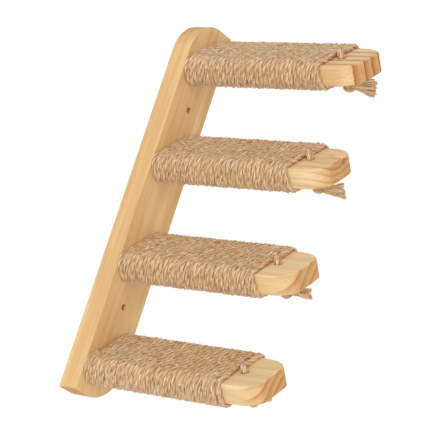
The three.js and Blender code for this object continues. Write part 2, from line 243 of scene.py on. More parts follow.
def step_seat(number):
    """Where a step's middle meets the front of the backboard."""
    place = number - (STEP_COUNT + 1) / 2
    return np.array([place * STEP_RUN, -BACKBOARD_THICKNESS, place * STEP_RISE])


def steps():
    return range(1, STEP_COUNT + 1)


STEP_TONES = {
    "early": srgb(247, 219, 169),
    "warm": srgb(239, 205, 152),
    "late": srgb(192, 120, 58),
    "end": srgb(238, 210, 178),
}
BACKBOARD_TONES = {
    "early": srgb(241, 204, 147),
    "warm": srgb(227, 182, 123),
    "late": srgb(180, 114, 56),
    "end": srgb(230, 200, 170),
}


# ---------------- meshes and pieces


def new_object(name, mesh, material, sharp_degrees=None):
    """An object of a smooth mesh. With an angle, sharper edges stay crisp and flats flat."""
    mesh.materials.clear()
    mesh.materials.append(material)
    mesh.shade_smooth()
    obj = bpy.data.objects.new(name, mesh)
    bpy.context.scene.collection.objects.link(obj)
    if sharp_degrees is not None:
        mesh.set_sharp_from_angle(angle=math.radians(sharp_degrees))
        flats = obj.modifiers.new("flats", "WEIGHTED_NORMAL")
        flats.keep_sharp = True
    return obj


def place_piece(obj, nodes=(), at=(0, 0, 0)):
    """A piece of the fixed part at a place in mm, which may stand for nodes of the CAD."""
    obj.location = Vector(at) * MM
    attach(obj, "root")
    if nodes:
        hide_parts(*nodes)


def mesh_from_arrays(name, vertices, quads, caps):
    mesh = bpy.data.meshes.new(name)
    faces = [tuple(quad) for quad in quads.tolist()] + [tuple(cap) for cap in caps]
    mesh.from_pydata((vertices * MM).tolist(), [], faces)
    mesh.update()
    return mesh


def add_attribute(mesh, name, values):
    kind = "FLOAT" if values.ndim == 1 else "FLOAT_VECTOR"
    field = "value" if values.ndim == 1 else "vector"
    attribute = mesh.attributes.new(name, kind, "POINT")
    attribute.data.foreach_set(field, values.astype(np.float32).ravel())


def tube_faces(rings, sides):
    """Quads round a tube whose vertices run ring by ring."""
    ring = np.arange(rings - 1)[:, None] * sides
    side = np.arange(sides)[None, :]
    after = (side + 1) % sides
    quads = np.stack([ring + side, ring + after, ring + sides + after, ring + sides + side], -1)
    first, last = range(sides), range((rings - 1) * sides, rings * sides)
    return quads.reshape(-1, 4), [list(first)[::-1], list(last)]


def mesh_from_rings(name, rings):
    """A closed tube through rings of points, in mm."""
    quads, caps = tube_faces(rings.shape[0], rings.shape[1])
    return mesh_from_arrays(name, rings.reshape(-1, 3), quads, caps)


def ringed_cutter(rings):
    obj = bpy.data.objects.new("cutter", mesh_from_rings("cutter", rings))
    bpy.context.scene.collection.objects.link(obj)
    return obj


def turned_rings(profile, sides, place, axis):
    """Rings with radii by the distance from a place along an axis, all in mm."""
    own = 2 * math.pi * np.arange(sides) / sides
    rings = []
    for radius, at in profile:
        level = np.full(sides, at)
        rings.append(np.stack([radius * np.cos(own), radius * np.sin(own), level], 1))
    turn = np.array(Vector(axis).to_track_quat("Z", "Y").to_matrix())
    return np.array(rings) @ turn.T + np.array(place)


def hole_cutter(place, axis, profile):
    return ringed_cutter(turned_rings(profile, HOLE_SEGMENTS, place, axis))


def cut_mesh(mesh, cutters):
    """The mesh with the cutters taken out of it."""
    obj = bpy.data.objects.new("blank", mesh)
    bpy.context.scene.collection.objects.link(obj)
    for cutter in cutters:
        modifier = obj.modifiers.new("cut", "BOOLEAN")
        modifier.operation = "DIFFERENCE"
        modifier.solver = "EXACT"
        modifier.object = cutter
    graph = bpy.context.evaluated_depsgraph_get()
    cut = bpy.data.meshes.new_from_object(obj.evaluated_get(graph))
    for used in [obj, *cutters]:
        bpy.data.objects.remove(used)
    return cut


# ---------------- boards


def corner_arc(centre_x, centre_y, radius_x, radius_y, start_degrees):
    points = []
    for index in range(ARC_SEGMENTS + 1):
        angle = math.radians(start_degrees + 90 * index / ARC_SEGMENTS)
        x = centre_x + radius_x * math.cos(angle)
        y = centre_y + radius_y * math.sin(angle)
        points.append((x, y))
    return points


def eased_board(name, outline, bottom, thickness, edge_radius):
    """A board between two heights whose outline edges are rounded over."""
    points = np.array(outline)
    runs = np.roll(points, -1, 0) - points
    runs /= np.linalg.norm(runs, axis=1)[:, None]
    after = np.stack([runs[:, 1], -runs[:, 0]], 1)
    before = np.roll(after, 1, 0)
    outward = (after + before) / (1 + np.sum(after * before, 1))[:, None]
    levels = []
    for angle in np.linspace(0, math.pi / 2, EASE_SEGMENTS + 1):
        inset = edge_radius * (1 - math.sin(angle))
        levels.append((inset, edge_radius * (1 - math.cos(angle))))
    levels += [(inset, thickness - up) for inset, up in levels[::-1]]
    rings = []
    for inset, up in levels:
        height = np.full((len(points), 1), bottom + up)
        rings.append(np.hstack([points - outward * inset, height]))
    return mesh_from_rings(name, np.array(rings))


def backboard_outline():
    """In the board's own frame: y along it uphill, x across towards the lower right."""
    side = BACKBOARD_WIDTH / 2
    end = BACKBOARD_LENGTH / 2
    round_ = BACKBOARD_ROUND
    tight = BACKBOARD_CORNER
    return [
        *corner_arc(side - round_, -end + round_, round_, round_, -90),
        *corner_arc(side - tight, end - tight, tight, tight, 0),
        *corner_arc(-side + round_, end - round_, round_, round_, 90),
        *corner_arc(-side + tight, -end + tight, tight, tight, 180),
    ]


def backboard_matrix():
    lean = math.atan2(STEP_RISE, STEP_RUN)
    along = Vector((math.cos(lean), 0, math.sin(lean)))
    front = Vector((0, -1, 0))
    across = along.cross(front)
    return Matrix((across, along, front)).transposed().to_4x4()


def in_backboard_frame(x, z):
    return backboard_matrix().inverted() @ Vector((x, 0, z))


def screw_places(number):
    """The two screws of a step, as (side's name, x, z)."""
    seat = step_seat(number)
    return [
        ("near", seat[0] - SCREW_SPACING / 2, seat[2]),
        ("far", seat[0] + SCREW_SPACING / 2, seat[2]),
    ]


def wall_hole_cutter(offset):
    radius = WALL_HOLE_DIAMETER / 2
    front = BACKBOARD_THICKNESS
    rim = WALL_HOLE_RIM
    profile = [(radius, -1), (radius, front - rim), (radius + 2 * rim, front + rim)]
    return hole_cutter((0, offset, 0), (0, 0, 1), profile)


def screw_hole_cutter(x, z):
    place = in_backboard_frame(x, z)
    shank = SCREW_SHANK_RADIUS + SCREW_CLEARANCE
    head = SCREW_HEAD_RADIUS + SCREW_CLEARANCE
    recess = SCREW_HEAD_RECESS
    cone_end = recess + head - shank
    profile = [(head, -1), (head, recess), (shank, cone_end), (shank, BACKBOARD_THICKNESS + 1)]
    return hole_cutter((place.x, place.y, 0), (0, 0, 1), profile)


def make_backboard():
    outline = backboard_outline()
    blank = eased_board("wood", outline, 0, BACKBOARD_THICKNESS, BACKBOARD_EDGE_RADIUS)
    cutters = [wall_hole_cutter(WALL_HOLE_OFFSET), wall_hole_cutter(-WALL_HOLE_OFFSET)]
    for number in steps():
        cutters += [screw_hole_cutter(x, z) for _, x, z in screw_places(number)]
    for cutter in cutters:
        cutter.matrix_world = backboard_matrix()
    blank.transform(backboard_matrix())
    turn = backboard_matrix().to_3x3().transposed().to_euler()
    name, rings = "pine_backboard", BACKBOARD_RINGS
    material = pine_material(name, rings, BACKBOARD_TONES, seed=11, turn=turn)
    mesh = cut_mesh(blank, cutters)
    board = new_object("backboard_wood", mesh, material, sharp_degrees=40)
    place_piece(board, ["backboard"])


def step_outline():
    """In the step's own frame: the tip towards -y, and past y = 0 what is cut off there."""
    side = STEP_WIDTH / 2
    tip_x = side - TIP_ROUND_ACROSS
    tip_y = -STEP_LENGTH + TIP_ROUND_ALONG
    wall = STEP_EDGE_RADIUS * 3
    return [
        *corner_arc(-tip_x, tip_y, TIP_ROUND_ACROSS, TIP_ROUND_ALONG, 180),
        *corner_arc(tip_x, tip_y, TIP_ROUND_ACROSS, TIP_ROUND_ALONG, 270)[1:],
        (side, wall),
        (-side, wall),
    ]


def wall_end_cutter():
    """Takes off what stands past the wall end, and leaves that end square."""
    wide, high = STEP_WIDTH, STEP_THICKNESS
    corners = [(-wide, -high), (-wide, high), (wide, high), (wide, -high)]
    reaches = (-STEP_WALL_GAP, STEP_EDGE_RADIUS * 8)
    return ringed_cutter(np.array([[(x, y, z) for x, z in corners] for y in reaches]))


def make_step_board(number):
    bottom = -STEP_THICKNESS / 2
    blank = eased_board("wood", step_outline(), bottom, STEP_THICKNESS, STEP_EDGE_RADIUS)
    depth = SCREW_LENGTH + SCREW_HEAD_RECESS - BACKBOARD_THICKNESS + SCREW_CLEARANCE
    pilot = SCREW_SHANK_RADIUS + SCREW_CLEARANCE
    hole_end = STEP_THICKNESS / 2 + 1
    hole_profile = [(ROPE_HOLE_RADIUS, -hole_end), (ROPE_HOLE_RADIUS, hole_end)]
    cutters = [wall_end_cutter(), hole_cutter(ROPE_HOLE_PLACE, (0, 0, 1), hole_profile)]
    for across in (-SCREW_SPACING / 2, SCREW_SPACING / 2):
        cutters.append(hole_cutter((across, 0, 0), (0, -1, 0), [(pilot, -1), (pilot, depth)]))
    name, rings, knot = f"pine_step_{number}", STEP_RINGS[number], STEP_KNOTS.get(number)
    material = pine_material(name, rings, STEP_TONES, seed=20 + number, knot=knot)
    mesh = cut_mesh(blank, cutters)
    board = new_object(f"step_board_wood_{number}", mesh, material, sharp_degrees=40)
    place_piece(board, [f"step_board_{number}"], step_seat(number))


# ---------------- rope winding


def winding_loop():
    """One turn's middle line round the step, as a table by the distance travelled.

    It starts above the middle of the step and goes over the near edge. Each row holds the
    distance, x, z, the angle of the outward normal and the rope's height there: at the
    step's edges the rope is pressed flatter.
    """
    half_height = ROPE_HEIGHT / 2
    reach_x = STEP_WIDTH / 2 + half_height
    reach_z = STEP_THICKNESS / 2 + half_height
    flat_x = reach_x - ROPE_BEND
    flat_z = reach_z - ROPE_BEND
    rows = []
    distance = 0.0

    def straight(start, end, angle):
        nonlocal distance
        length = math.dist(start, end)
        for share in np.linspace(0, 1, 12, endpoint=False):
            x = start[0] + (end[0] - start[0]) * share
            z = start[1] + (end[1] - start[1]) * share
            rows.append((distance + length * share, x, z, angle, ROPE_HEIGHT))
        distance += length

    def corner(centre_x, centre_z, start_angle):
        nonlocal distance
        length = ROPE_BEND * math.pi / 2
        for share in np.linspace(0, 1, 24, endpoint=False):
            angle = start_angle + 90 * share
            x = centre_x + ROPE_BEND * math.cos(math.radians(angle))
            z = centre_z + ROPE_BEND * math.sin(math.radians(angle))
            pressed = math.sin(math.pi * share) ** 2
            height = ROPE_HEIGHT + (ROPE_PRESSED_HEIGHT - ROPE_HEIGHT) * pressed
            rows.append((distance + length * share, x, z, angle, height))
        distance += length

    straight((0, reach_z), (-flat_x, reach_z), 90)
    corner(-flat_x, flat_z, 90)
    straight((-reach_x, flat_z), (-reach_x, -flat_z), 180)
    corner(-flat_x, -flat_z, 180)
    straight((-flat_x, -reach_z), (flat_x, -reach_z), 270)
    corner(flat_x, -flat_z, 270)
    straight((reach_x, -flat_z), (reach_x, flat_z), 360)
    corner(flat_x, flat_z, 360)
    straight((flat_x, reach_z), (0, reach_z), 450)
    rows.append((distance, 0.0, reach_z, 450, ROPE_HEIGHT))
    return np.array(rows)


def corner_cut(points, rounds):
    """A smoother line through the same ends, by cutting its corners."""
    for _ in range(rounds):
        near = points[:-1] * 0.75 + points[1:] * 0.25
        far = points[:-1] * 0.25 + points[1:] * 0.75
        middle = np.empty((2 * len(near), points.shape[1]))
        middle[0::2] = near
        middle[1::2] = far
        points = np.vstack([points[:1], middle, points[-1:]])
    return points


def tangents_of(line):
    """Unit directions along a line of points."""
    tangents = np.gradient(line, axis=0)
    return tangents / np.linalg.norm(tangents, axis=1)[:, None]


def distances_along(line):
    lengths = np.linalg.norm(np.diff(line, axis=0), axis=1)
    return np.concatenate([[0], np.cumsum(lengths)])


def evenly_spaced(points, spacing):
    travelled = distances_along(points)
    count = max(2, int(travelled[-1] / spacing) + 1)
    wanted = np.linspace(0, travelled[-1], count)
    return np.stack([np.interp(wanted, travelled, column) for column in points.T], 1)


def turns_out(shares):
    """How many turns' widths the rope has moved out, after so many turns from the top.

    It lies square to the step on top. Near the wall it moves on under the step, and towards
    the tip more and more of that happens on the near side.
    """
    whole = np.floor(shares)
    towards_tip = np.clip(whole / (ROPE_TURNS - 1), 0, 1)
    begins = 0.38 - 0.19 * towards_tip
    ends = 0.78 - 0.28 * towards_tip
    return whole + smoothstep((shares - whole - begins) / (ends - begins))


def winding_path(number):
    """The winding's middle line, outward normals and height, in the step's own frame."""
    loop = winding_loop()
    perimeter = loop[-1, 0]
    start = ROPE_STARTS[number] / perimeter
    first_out = ROPE_WALL_GAP + ROPE_WIDTH / 2
    pitch = (WRAP_LENGTH - ROPE_WIDTH / 2 - first_out) / (ROPE_TURNS - 1)
    end = ROPE_TURNS - ROPE_LEAVES_TURN / perimeter
    shares = np.arange(start, end, ROPE_RING_SPACING / perimeter)
    round_ = (shares % 1.0) * perimeter
    x = np.interp(round_, loop[:, 0], loop[:, 1])
    z = np.interp(round_, loop[:, 0], loop[:, 2])
    angle = np.radians(np.interp(round_, loop[:, 0], loop[:, 3]))
    height = np.interp(round_, loop[:, 0], loop[:, 4])
    out = first_out + pitch * turns_out(shares)
    travelled = shares * perimeter
    wander = slow_wave(100 + number, travelled, 60, 0.16)
    lift = slow_wave(200 + number, travelled, 34, 0.13)
    height = height * (1 + slow_wave(250 + number, travelled, 45, 0.03))
    normal = np.stack([np.cos(angle), np.zeros_like(x), np.sin(angle)], 1)
    centre = np.stack([x, -(out + wander), z], 1) + normal * lift[:, None]
    return centre, normal, height


def run_into_hole(last):
    """From the last turn on top: 45 degrees across to the hole and down to mid height."""
    top = last[2]
    x, y, _ = ROPE_HOLE_PLACE
    points = [
        last,
        (5.0, last[1] - 0.1, top + 0.2),
        (2.2, last[1] - 1.0, top + 0.8),
        (x + 1.2, y + 1.6, top + 0.9),
        (x - 0.2, y + 0.1, top + 0.3),
        (x - 0.2, y, top - 4.0),
        (x, y, 5.0),
        ROPE_HOLE_PLACE,
    ]
    return evenly_spaced(corner_cut(np.array(points), 4), ROPE_RING_SPACING)[1:]


def carried_normals(points, first_normal):
    """Normals square to the line, each turned as little as can be from the one before."""
    normals = []
    normal = first_normal
    for tangent in tangents_of(points):
        normal = normal - tangent * (normal @ tangent)
        normal = normal / np.linalg.norm(normal)
        normals.append(normal)
    return np.array(normals)


def strand_section(angles):
    """The outline of three round strands that are pressed together."""
    strand_radius = 0.65
    off_centre = 1 - strand_radius
    third = 2 * math.pi / 3
    from_crest = (angles + third / 2) % third - third / 2
    return off_centre * np.cos(from_crest) + np.sqrt(
        strand_radius**2 - (off_centre * np.sin(from_crest)) ** 2
    )


def yarn_turn(seed, along):
    """How far the yarns' ridges have turned against the strands, in radians by the length."""
    against = YARN_RIDGES * YARN_TURNS_BACK * 2 * math.pi / ROPE_LAY
    return against * along + slow_wave(seed + 50, along, 24, 1.3)


def rope_mesh(name, centres, normals, heights, widths, seed):
    """A laid rope along a line, with the data that its fibres are drawn from."""
    tangents = tangents_of(centres)
    normals = normals - tangents * np.sum(normals * tangents, axis=1)[:, None]
    normals /= np.linalg.norm(normals, axis=1)[:, None]
    sideways = np.cross(tangents, normals)
    along = distances_along(centres)
    own = 2 * math.pi * np.arange(ROPE_SIDES) / ROPE_SIDES
    twist = 2 * math.pi * along / ROPE_LAY + slow_wave(seed, along, 90, 0.18)
    angles = own[None, :] + twist[:, None]
    reach = strand_section(own)[None, :] * np.ones_like(angles)
    for strand in range(3):
        share = np.clip(np.cos(own - strand * 2 * math.pi / 3), 0, 1) ** 2
        swell = slow_wave(seed + 7 * strand + 1, along, 16, 0.035)
        reach = reach * (1 + share[None, :] * swell[:, None])
    ridge = 0.5 + 0.5 * np.cos(YARN_RIDGES * own[None, :] + yarn_turn(seed, along)[:, None])
    reach = reach * (0.97 + YARN_DEPTH * (ridge - 0.5))
    up = reach * np.cos(angles) * heights[:, None] / 2
    side = reach * np.sin(angles) * widths[:, None] / 2
    vertices = (
        centres[:, None, :]
        + normals[:, None, :] * up[:, :, None]
        + sideways[:, None, :] * side[:, :, None]
    )
    mesh = mesh_from_rings(name, vertices)
    slant = own[None, :] + 0.45 * twist[:, None]
    level = np.repeat(along[:, None], ROPE_SIDES, 1)
    fibre = np.stack([2.7 * np.cos(slant), 2.7 * np.sin(slant), level], -1)
    # crest and ridge also carry painted shade: the jute material colours the grooves between
    # strands and between yarns darker from them.
    crest = np.abs(np.cos(1.5 * own))[None, :] * np.ones_like(angles)
    add_attribute(mesh, "ridge", ridge.ravel())
    add_attribute(mesh, "fibre", fibre.reshape(-1, 3))
    add_attribute(mesh, "crest", crest.ravel())
    return mesh


def make_winding(number, material):
    centres, normals, heights = winding_path(number)
    run = run_into_hole(centres[-1])
    run_normals = carried_normals(run, normals[-1])
    whole = np.vstack([centres, run])
    whole_normals = np.vstack([normals, run_normals])
    eased = smoothstep(np.linspace(0, 1, len(run)) * 3)
    run_heights = heights[-1] + (FREE_ROPE_WIDTH - heights[-1]) * eased
    run_widths = ROPE_WIDTH + (FREE_ROPE_WIDTH - ROPE_WIDTH) * eased
    whole_heights = np.concatenate([heights, run_heights])
    widths = np.concatenate([np.full(len(heights), ROPE_WIDTH), run_widths])
    name = f"rope_winding_{number}"
    mesh = rope_mesh(name, whole, whole_normals, whole_heights, widths, 300 + number)
    winding = new_object(name, mesh, material)
    place_piece(winding, [f"rope_wrap_{number}"], step_seat(number))
    return centres, normals


# ---------------- loose fibres


def thin_tubes_mesh(name, lines, radii, sides, seed):
    """Many thin tubes as one mesh. Each line has the same number of points."""
    random = np.random.default_rng(seed)
    all_vertices, all_quads, all_caps, all_fibre, all_crest = [], [], [], [], []
    start = 0
    guide = np.array([0.31, 0.52, 0.8])
    turn = 2 * math.pi * np.arange(sides) / sides
    for line, radius in zip(lines, radii):
        tangent = tangents_of(line)
        first = np.cross(tangent, guide)
        first /= np.linalg.norm(first, axis=1)[:, None]
        second = np.cross(tangent, first)
        vertices = (
            line[:, None, :]
            + first[:, None, :] * (np.cos(turn)[None, :, None] * radius[:, None, None])
            + second[:, None, :] * (np.sin(turn)[None, :, None] * radius[:, None, None])
        )
        quads, caps = tube_faces(len(line), sides)
        all_vertices.append(vertices.reshape(-1, 3))
        all_quads.append(quads + start)
        all_caps += [[corner + start for corner in cap] for cap in caps]
        shift = random.uniform(0, 300)
        around, along = np.meshgrid(turn, np.linspace(0, 1, len(line)) * 12 + shift)
        fibre = np.stack([np.cos(around) + shift, np.sin(around), along], -1)
        all_fibre.append(fibre.reshape(-1, 3))
        all_crest.append(np.full(len(line) * sides, random.uniform(0.35, 1.0)))
        start += len(line) * sides
    mesh = mesh_from_arrays(name, np.vstack(all_vertices), np.vstack(all_quads), all_caps)
    add_attribute(mesh, "fibre", np.vstack(all_fibre))
    add_attribute(mesh, "crest", np.concatenate(all_crest))
    add_attribute(mesh, "ridge", np.concatenate(all_crest[::-1]))
    return mesh


def make_fuzz(number, centres, normals, material):
    """Short loose fibres that stand off the winding."""
    random = np.random.default_rng(400 + number)
    points = 5
    tangents = tangents_of(centres)
    lines, radii = [], []
    for index in random.integers(20, len(centres) - 20, FUZZ_PER_STEP):
        normal, tangent = normals[index], tangents[index]
        sideways = np.cross(tangent, normal)
        length = random.uniform(2.5, 7.0)
        rise = random.uniform(0.2, 1.6)
        forward = random.choice([-1, 1])
        lean = random.uniform(-0.5, 0.5)
        foot = centres[index] + normal * ROPE_HEIGHT * 0.44
        foot = foot + sideways * random.uniform(-2, 2)
        t = np.linspace(0, 1, points)[:, None]
        arc = np.sin(t * random.uniform(1.6, 2.9)) * rise
        line = foot + tangent * forward * t * length + normal * arc + sideways * lean * length * t
        lines.append(line)
        radii.append(np.linspace(0.09, 0.045, points))
    name = f"jute_fuzz_{number}"
    fuzz = new_object(name, thin_tubes_mesh(name, lines, radii, FUZZ_SIDES, number), material)
    place_piece(fuzz, at=step_seat(number))


# ---------------- knot and tail


def tail_frame(tail):
    """The tail's start and direction, with what is up and sideways to it."""
    heading = math.radians(tail["heading"])
    droop = math.radians(tail["droop"])
    level = math.cos(droop)
    forward = np.array([math.sin(heading) * level, -math.cos(heading) * level, -math.sin(droop)])
    sideways = np.cross(forward, [0.0, 0.0, 1.0])
    sideways /= np.linalg.norm(sideways)
    start = np.array([0.0, -KNOT_LEAN, tail["from"]])
    return start, forward, np.cross(sideways, forward), sideways


def knot_path(tail):
    """Down through the hole, round and round below it, and out along the tail."""
    start, forward, _, sideways = tail_frame(tail)
    points = [(0, 0, -1.0), (0, 0, -6.0), (0.6, -0.4, -10.0)]
    count = 24
    for index in range(count):
        share = index / (count - 1)
        angle = math.radians(20) + 2 * math.pi * KNOT_TURNS * share
        height = KNOT_TOP + (KNOT_BOTTOM - KNOT_TOP) * share + KNOT_WAVE * math.sin(angle + 0.8)
        across = KNOT_RADIUS * math.cos(angle)
        along = KNOT_RADIUS * math.sin(angle) - KNOT_LEAN * min(1, 3 * share)
        points.append((across, along, height))
    rope_end = tail["length"] * tail["rope"]
    points.append(start + forward * 3.0 + sideways * 0.6)
    points.append(start + forward * (rope_end + 2.0))
    points.append(start + forward * (rope_end + 5.0))
    return np.array(points)


def make_knot(number, material):
    tail = TAILS[number]
    line = evenly_spaced(corner_cut(knot_path(tail), 3), ROPE_RING_SPACING * 0.7)
    normals = carried_normals(line, np.array([1.0, 0.0, 0.0]))
    fade = np.clip((np.arange(len(line)) - len(line) + 6) / 6, 0, 1)
    size = ROPE_WIDTH * (1 - 0.6 * fade)
    name = f"rope_knot_{number}"
    mesh = rope_mesh(f"{name}_turns", line, normals, size, size, 500 + number)
    knot = new_object(f"{name}_turns", mesh, material)
    place_piece(knot, [name], step_seat(number) + ROPE_HOLE_PLACE)
    make_tail(number, tail, material)


def make_tail(number, tail, material):
    """The frayed end: fingers that part, each a bundle of yarns, and stray fibres."""
    random = np.random.default_rng(600 + number)
    start, forward, upward, sideways = tail_frame(tail)
    origin = start + forward * tail["length"] * tail["rope"]
    free = tail["length"] * (1 - tail["rope"])
    t = np.linspace(0, 1, 14)
    reach_most = max(abs(up) for up, _ in tail["fingers"])
    lines, radii = [], []

    def add(finger, angle, spread, radius, reach):
        """One yarn at an angle round its finger, which twists a little as it goes."""
        shrink = 1.7 / reach_most
        open_ = smoothstep(t * 0.62 + 0.06) / smoothstep(0.68)
        turn = angle + 1.6 * t
        loose = spread * (0.8 + 0.35 * t)
        wave = TAIL_WAVE * np.sin(2 * math.pi * (1.4 * t + random.uniform(0, 1)))
        up = finger[0] * (shrink + (1 - shrink) * open_) + loose * np.cos(turn) + wave
        side = finger[1] * (0.5 + 0.5 * open_) + loose * np.sin(turn)
        line = (
            origin
            + forward * (t * free * reach - 2.0 * (1 - t))[:, None]
            + upward * up[:, None]
            + sideways * side[:, None]
        )
        lines.append(line)
        rounded_end = np.where(t > 0.95, 0.6, 1.0)
        radii.append(radius * rounded_end)

    for finger in tail["fingers"]:
        finger_reach = random.uniform(0.93, 1.03)
        add(finger, 0.0, 0.0, 1.3, finger_reach)
        for index in range(YARNS_PER_FINGER):
            angle = 2 * math.pi * index / YARNS_PER_FINGER + random.uniform(-0.2, 0.2)
            reach = finger_reach * random.uniform(0.95, 1.04)
            add(finger, angle, random.uniform(1.25, 1.6), random.uniform(0.68, 0.88), reach)
        for _ in range(FIBRES_PER_FINGER):
            angle = random.uniform(0, 2 * math.pi)
            reach = finger_reach * random.uniform(0.8, 1.12)
            add(finger, angle, random.uniform(1.6, 2.3), random.uniform(0.08, 0.15), reach)
    name = f"rope_tail_{number}"
    mesh = thin_tubes_mesh(name, lines, radii, YARN_SIDES, 700 + number)
    tail_piece = new_object(name, mesh, material)
    place_piece(tail_piece, at=step_seat(number) + ROPE_HOLE_PLACE)


# ---------------- staples and screws


def make_staple(number, side, material):
    """A wire staple over the last turn of rope, its legs in the wood."""
    across, further_out, turn = STAPLES[side]
    out = WRAP_LENGTH - ROPE_WIDTH / 2 + further_out
    top = STEP_THICKNESS / 2 + ROPE_HEIGHT - STAPLE_SUNK[number]
    foot = STEP_THICKNESS / 2 - STAPLE_LEG_IN_WOOD
    half = STAPLE_CROWN / 2
    leg = [(0, half, foot), (0, half, top - 1.2), (0, half, top), (0, half - 1.0, top + 0.12)]
    other_leg = [(0, -y, z) for _, y, z in leg[::-1]]
    line = evenly_spaced(corner_cut(np.array(leg + other_leg), 2), 0.4)
    wide = np.array([1.0, 0.0, 0.0])
    high = np.cross(tangents_of(line), wide)
    own = 2 * math.pi * (np.arange(12) + 0.5) / 12
    bulge = 1 / (np.abs(np.cos(own)) ** 5 + np.abs(np.sin(own)) ** 5) ** 0.2
    vertices = (
        line[:, None, :]
        + wide[None, None, :] * (bulge * np.cos(own) * STAPLE_WIRE_WIDE / 2)[None, :, None]
        + high[:, None, :] * (bulge * np.sin(own) * STAPLE_WIRE_HIGH / 2)[None, :, None]
    )
    name = f"staple_{number}_{side}"
    staple = new_object(name, mesh_from_rings(name, vertices), material, sharp_degrees=50)
    staple.rotation_euler = (0, 0, math.radians(turn))
    place_piece(staple, at=step_seat(number) + np.array([across, -out, 0]))


def screw_profile():
    """Radius and distance from the head's face, down to the point, with a coarse thread."""
    head = SCREW_HEAD_RADIUS
    shank = SCREW_SHANK_RADIUS
    plain = shank * 0.86
    root = shank * 0.68
    cone = head - shank
    at = BACKBOARD_THICKNESS
    profile = [(head - 0.25, 0.0), (head, 0.2), (shank + 0.1, cone)]
    profile += [(plain, cone + 0.6), (plain, at)]
    while at < SCREW_LENGTH - SCREW_POINT_LENGTH:
        profile += [(root, at + 0.3), (shank, at + 0.95), (root, at + 1.6)]
        at += SCREW_THREAD_PITCH
    profile.append((0.05, SCREW_LENGTH))
    return profile


def screw_mesh():
    """A countersunk wood screw with a cross recess, its head's face at y = 0."""
    rings = turned_rings(screw_profile(), SCREW_SIDES, (0, 0, 0), (0, -1, 0))
    return cut_mesh(mesh_from_rings("screw", rings), [cross_cutter()])


def cross_cutter():
    """A cross recess, narrower at its bottom."""
    long, wide = 2.3, 0.55
    quarter = [(long, -wide), (long, wide), (wide, wide)]
    corners = []
    for c, s in ((1, 0), (0, 1), (-1, 0), (0, -1)):
        corners += [(c * x - s * z, s * x + c * z) for x, z in quarter]
    levels = ((-2.2, 0.45), (0.6, 1.0))
    rings = [[(x * scale, level, z * scale) for x, z in corners[::-1]] for level, scale in levels]
    return ringed_cutter(np.array(rings))


def make_screws(material):
    """The step screws, each driven in to a different angle."""
    mesh = screw_mesh()
    for number in steps():
        for side, x, z in screw_places(number):
            name = f"step_screw_{number}_{side}"
            own = mesh.copy()
            screw = new_object(f"wood_screw_{number}_{side}", own, material, sharp_degrees=35)
            screw.rotation_euler = (0, math.radians(37 * number + 20 * (x > 0)), 0)
            place_piece(screw, [name], (x, -SCREW_HEAD_RECESS, z))


# ---------------- materials


class Graph:
    """A small helper for a material's nodes."""

    def __init__(self, name):
        self.material = bpy.data.materials.new(name)
        self.material.use_nodes = True
        self.tree = self.material.node_tree
        self.shader = self.tree.nodes["Principled BSDF"]

    def add(self, kind, inputs=None, **settings):
        node = self.tree.nodes.new(kind)
        for key, value in settings.items():
            setattr(node, key, value)
        for key, value in (inputs or {}).items():
            self.feed(node.inputs[key], value)
        return node

    def feed(self, socket, value):
        if isinstance(value, bpy.types.NodeSocket):
            self.tree.links.new(value, socket)
        else:
            socket.default_value = value

    def math(self, operation, first, second=0.0, third=0.0, clamp=False):
        inputs = {0: first, 1: second, 2: third}
        node = self.add("ShaderNodeMath", inputs, operation=operation, use_clamp=clamp)
        return node.outputs[0]

    def vector(self, operation, first, second=(0, 0, 0)):
        node = self.add("ShaderNodeVectorMath", {0: first, 1: second}, operation=operation)
        return node.outputs[0]

    def noise(self, place, scale, detail=2.0, roughness=0.5):
        """Noise over a place given in mm, with one feature size in mm per axis."""
        stretched = self.vector("DIVIDE", place, scale)
        inputs = {"Vector": stretched, "Scale": 1.0, "Detail": detail, "Roughness": roughness}
        return self.add("ShaderNodeTexNoise", inputs).outputs

    def ramp(self, factor, stops):
        node = self.add("ShaderNodeValToRGB", {"Fac": factor})
        elements = node.color_ramp.elements
        while len(elements) < len(stops):
            elements.new(0.5)
        for element, (place, color) in zip(elements, stops):
            element.position = place
            element.color = color
        return node.outputs["Color"]

    def mix(self, factor, first, second, blend="MIX"):
        node = self.add("ShaderNodeMix", data_type="RGBA", blend_type=blend)
        self.feed(node.inputs["Factor"], factor)
        self.feed(node.inputs["A"], first)
        self.feed(node.inputs["B"], second)
        return node.outputs["Result"]

    def remap(self, value, low, high, new_low, new_high):
        inputs = {"Value": value, "From Min": low, "From Max": high}
        inputs |= {"To Min": new_low, "To Max": new_high}
        return self.add("ShaderNodeMapRange", inputs).outputs["Result"]

    def grey(self, value):
        """A grey colour of a value."""
        inputs = {"Red": value, "Green": value, "Blue": value}
        return self.add("ShaderNodeCombineColor", inputs).outputs["Color"]

    def turned(self, vector, angles):
        inputs = {"Vector": vector, "Rotation": angles}
        return self.add("ShaderNodeMapping", inputs, vector_type="POINT").outputs["Vector"]

    def shine(self, **values):
        for name, value in values.items():
            self.feed(self.shader.inputs[name.replace("_", " ")], value)


def branch_knot(graph, knot, bent, radius, ring_width):
    """Rings pushed aside round a small branch: the new radius, and how dark it is there."""
    x, y, z = knot["place"]
    squeeze = 0.35
    pressed = graph.vector("MULTIPLY", bent, (1, squeeze, 1))
    reach = graph.add("ShaderNodeVectorMath", {0: pressed}, operation="DISTANCE")
    graph.feed(reach.inputs[1], (x, y * squeeze, z))
    away = reach.outputs["Value"]
    pull = graph.remap(away, 0, knot["radius"] * 2.4, 1, 0)
    pull = graph.math("MULTIPLY", pull, pull)
    radius = graph.math("MULTIPLY_ADD", pull, ring_width * 1.1, radius)
    return radius, graph.remap(away, knot["radius"] * 0.3, knot["radius"], 0.55, 0)


